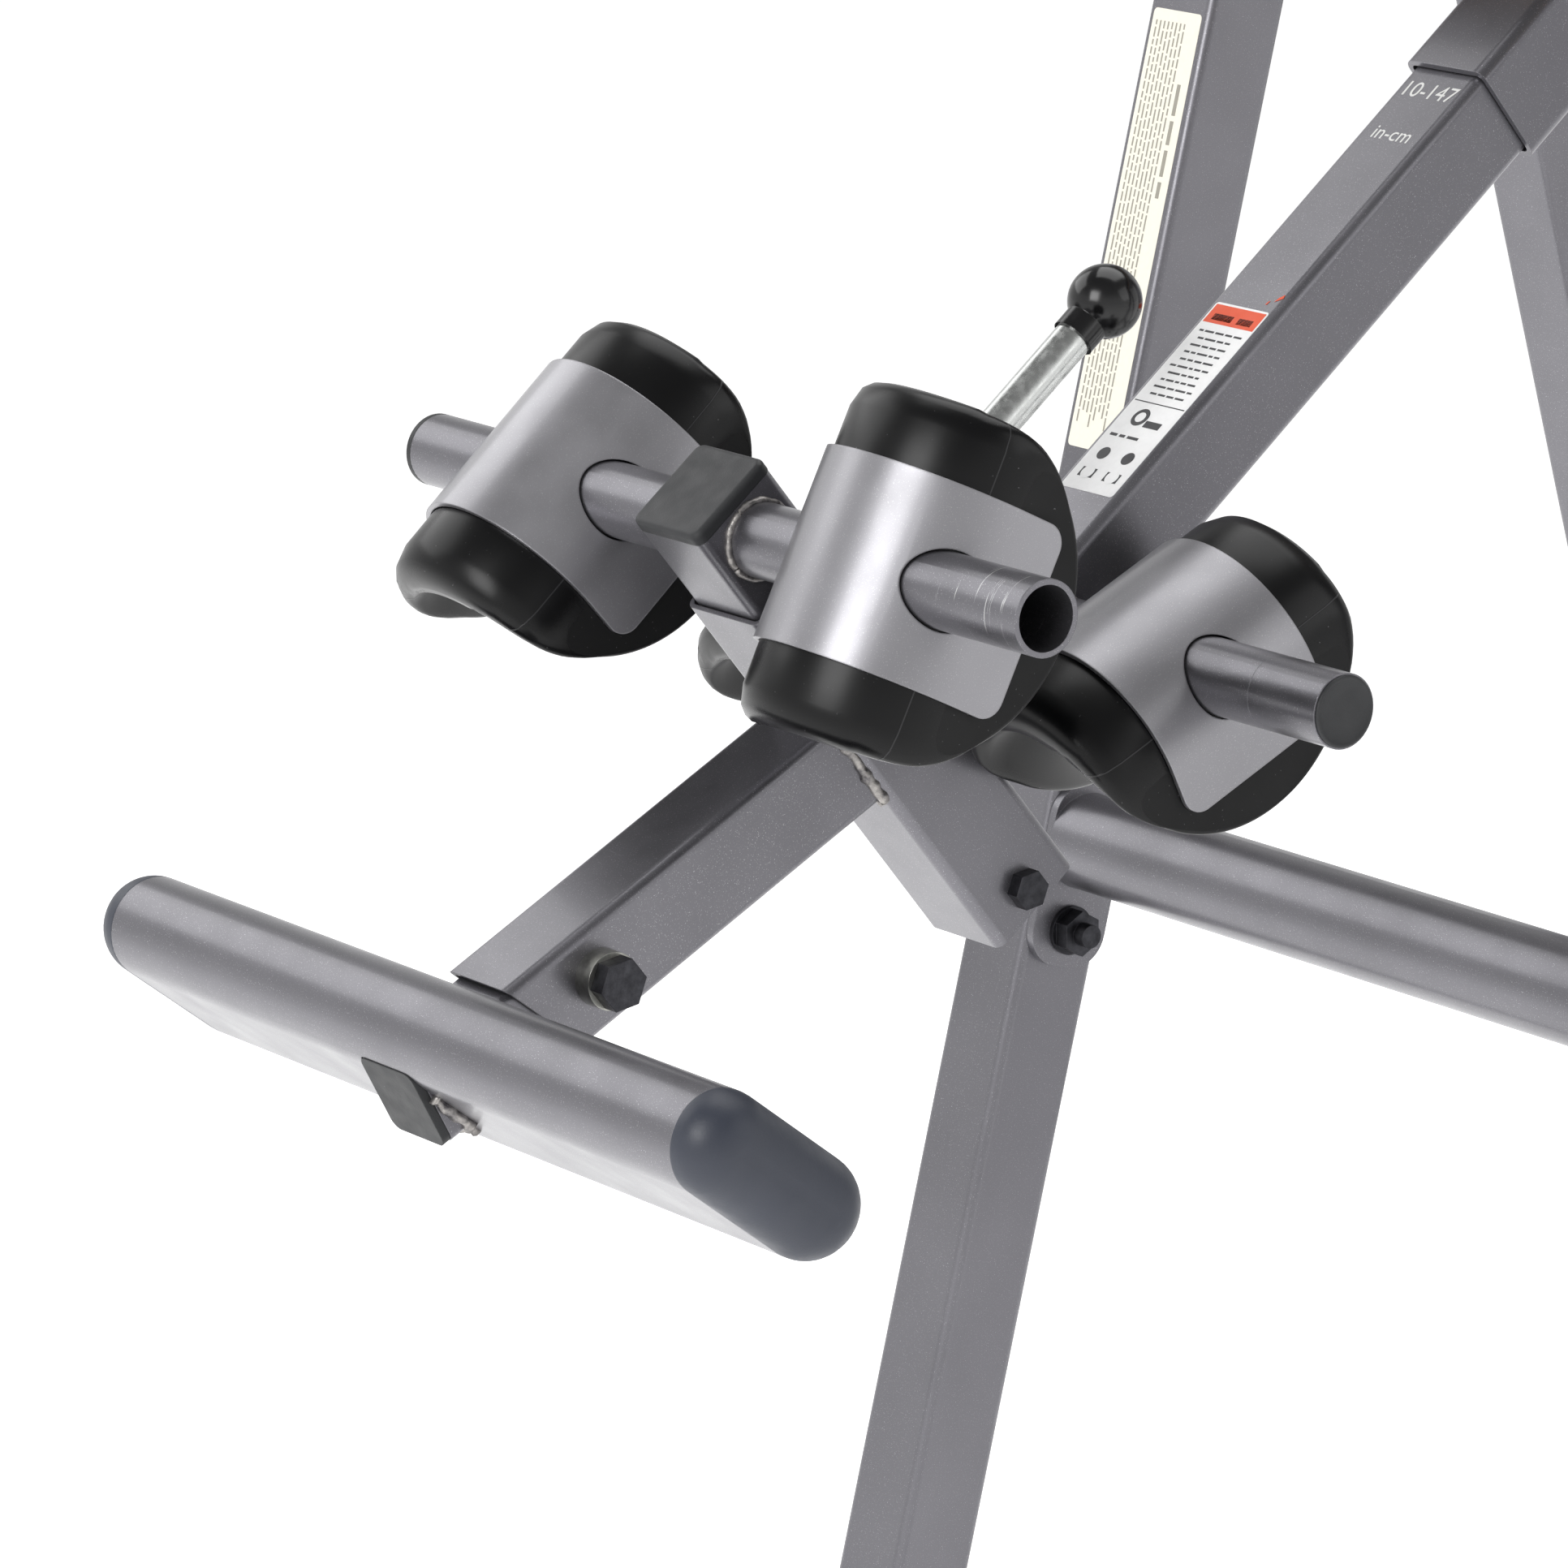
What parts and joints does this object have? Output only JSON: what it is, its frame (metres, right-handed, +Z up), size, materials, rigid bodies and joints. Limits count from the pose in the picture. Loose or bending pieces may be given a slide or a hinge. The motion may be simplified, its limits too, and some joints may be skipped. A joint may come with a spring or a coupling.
{
  "type": "inversion table",
  "caption": "Folding A-frame inversion table: padded bed on pivot pins, sliding height shaft, hinged ankle pads and a footrest.",
  "frame": {"origin": "on the floor, under the middle of the box around the standing machine", "axes": "+X the user's right, +Y from the foot end to the head end, +Z up"},
  "size_m": [0.7522, 1.3269, 1.7856],
  "materials": {
    "frame_paint": "satin",
    "black_paint": "satin",
    "black_bolt": "satin",
    "zinc": "satin",
    "strap_steel": "satin",
    "plated_rod": "polished",
    "spring_steel": "satin",
    "black_rubber": "matte",
    "pad_foam": "satin",
    "grip_foam": "matte",
    "black_plastic": "matte",
    "knob_plastic": "gloss",
    "cap_plastic": "satin",
    "nylon": "satin",
    "mat_fabric": "matte",
    "board_wood": "matte"
  },
  "bodies": {
    "front_frame": {"front_legs": "frame_paint", "front_leg_caps": "black_plastic", "front_feet": "black_rubber", "front_crossbar": "frame_paint", "pivot_brackets": "frame_paint", "handles": "frame_paint", "handle_grips": "grip_foam", "handle_plugs": "black_plastic", "front_frame_bolts": "black_bolt", "brace_studs": "zinc"},
    "rear_frame": {"rear_legs": "frame_paint", "rear_leg_caps": "black_plastic", "rear_feet": "black_rubber", "rear_crossbar": "frame_paint", "rear_frame_bolts": "black_bolt"},
    "left_pivot_lock": {"pivot_lock_left": "zinc"},
    "right_pivot_lock": {"pivot_lock_right": "zinc"},
    "left_brace": {"brace_left": "frame_paint"},
    "right_brace": {"brace_right": "frame_paint"},
    "bed": {"receiver_tube": "frame_paint", "bed_rails": "frame_paint", "bed_bows": "frame_paint", "bed_crossbars": "frame_paint", "backrest_board": "board_wood", "backrest_mat": "mat_fabric", "head_pillow": "mat_fabric", "hinge_arms": "black_paint", "arm_bolts": "black_bolt", "pivot_pins": "zinc", "pivot_bushings": "nylon", "selector_housing": "frame_paint"},
    "height_selector": {"selector_pin": "plated_rod", "selector_spring": "spring_steel", "selector_knob": "knob_plastic"},
    "shaft": {"height_shaft": "frame_paint", "ankle_sleeve": "frame_paint", "lower_tube": "frame_paint", "lock_housing": "frame_paint", "footrest_arm": "frame_paint", "footrest_arm_cap": "black_plastic", "shaft_bolts": "black_bolt", "footrest_spacer": "zinc", "footrest": "frame_paint", "footrest_caps": "cap_plastic", "rear_ankle_tube": "frame_paint", "rear_tube_ends": "frame_paint"},
    "ankle_lock": {"lock_pin": "plated_rod", "lock_spring": "spring_steel", "lock_knob": "knob_plastic"},
    "post": {"ankle_post": "frame_paint", "front_ankle_tube": "frame_paint", "post_plugs": "black_plastic"},
    "front_left_pad": {"ankle_pad_front_left": "pad_foam", "pad_strap_front_left": "strap_steel"},
    "front_right_pad": {"ankle_pad_front_right": "pad_foam", "pad_strap_front_right": "strap_steel"},
    "rear_left_pad": {"ankle_pad_rear_left": "pad_foam", "pad_strap_rear_left": "strap_steel"},
    "rear_right_pad": {"ankle_pad_rear_right": "pad_foam", "pad_strap_rear_right": "strap_steel"}
  },
  "joints": [
    {"name": "table_turn", "type": "hinge", "parent": "front_frame", "child": "bed", "pos_m": [0, 0.0496, 1.24], "axis": [1, 0, 0], "range_deg": [-129, 22]},
    {"name": "height_slide", "type": "slide", "parent": "bed", "child": "shaft", "axis": [0, -0.7749, -0.632], "range_m": [0, 0.275]},
    {"name": "selector_pull", "type": "slide", "parent": "bed", "child": "height_selector", "axis": [1, 0, 0], "range_m": [-0.009, 0.002], "stiffness_N_per_m": 900, "springref_m": -0.012},
    {"name": "post_slide", "type": "slide", "parent": "shaft", "child": "post", "axis": [0, -0.632, 0.7749], "range_m": [0, 0.0762]},
    {"name": "ankle_lock_pull", "type": "slide", "parent": "shaft", "child": "ankle_lock", "axis": [0, 0.7749, 0.632], "range_m": [-0.009, 0.002], "stiffness_N_per_m": 900, "springref_m": -0.012},
    {"name": "front_left_pad_turn", "type": "hinge", "parent": "post", "child": "front_left_pad", "pos_m": [0, -0.51326, 0.89063], "axis": [1, 0, 0], "range_deg": [-25, 25]},
    {"name": "front_right_pad_turn", "type": "hinge", "parent": "post", "child": "front_right_pad", "pos_m": [0, -0.51326, 0.89063], "axis": [1, 0, 0], "range_deg": [-25, 25]},
    {"name": "rear_left_pad_turn", "type": "hinge", "parent": "shaft", "child": "rear_left_pad", "pos_m": [0, -0.38221, 0.84085], "axis": [1, 0, 0], "range_deg": [-25, 25]},
    {"name": "rear_right_pad_turn", "type": "hinge", "parent": "shaft", "child": "rear_right_pad", "pos_m": [0, -0.38221, 0.84085], "axis": [1, 0, 0], "range_deg": [-25, 25]},
    {"name": "frame_fold", "type": "hinge", "parent": "front_frame", "child": "rear_frame", "pos_m": [0, 0.08358, 1.185], "axis": [-1, 0, 0], "range_deg": [0, 26]},
    {"name": "left_brace_turn", "type": "hinge", "parent": "rear_frame", "child": "left_brace", "pos_m": [0, 0.36975, 0.2], "axis": [-1, 0, 0], "range_deg": [0, 74]},
    {"name": "right_brace_turn", "type": "hinge", "parent": "rear_frame", "child": "right_brace", "pos_m": [0, 0.36975, 0.2], "axis": [-1, 0, 0], "range_deg": [0, 74]},
    {"name": "left_pivot_lock_turn", "type": "hinge", "parent": "front_frame", "child": "left_pivot_lock", "pos_m": [0, 0.0796, 1.242], "axis": [-1, 0, 0], "range_deg": [0, 70]},
    {"name": "right_pivot_lock_turn", "type": "hinge", "parent": "front_frame", "child": "right_pivot_lock", "pos_m": [0, 0.0796, 1.242], "axis": [-1, 0, 0], "range_deg": [0, 70]}
  ],
  "couplings": [
    {"joint": "left_brace_turn", "follows": "frame_fold", "ratio": 2.838},
    {"joint": "right_brace_turn", "follows": "frame_fold", "ratio": 2.838}
  ]
}
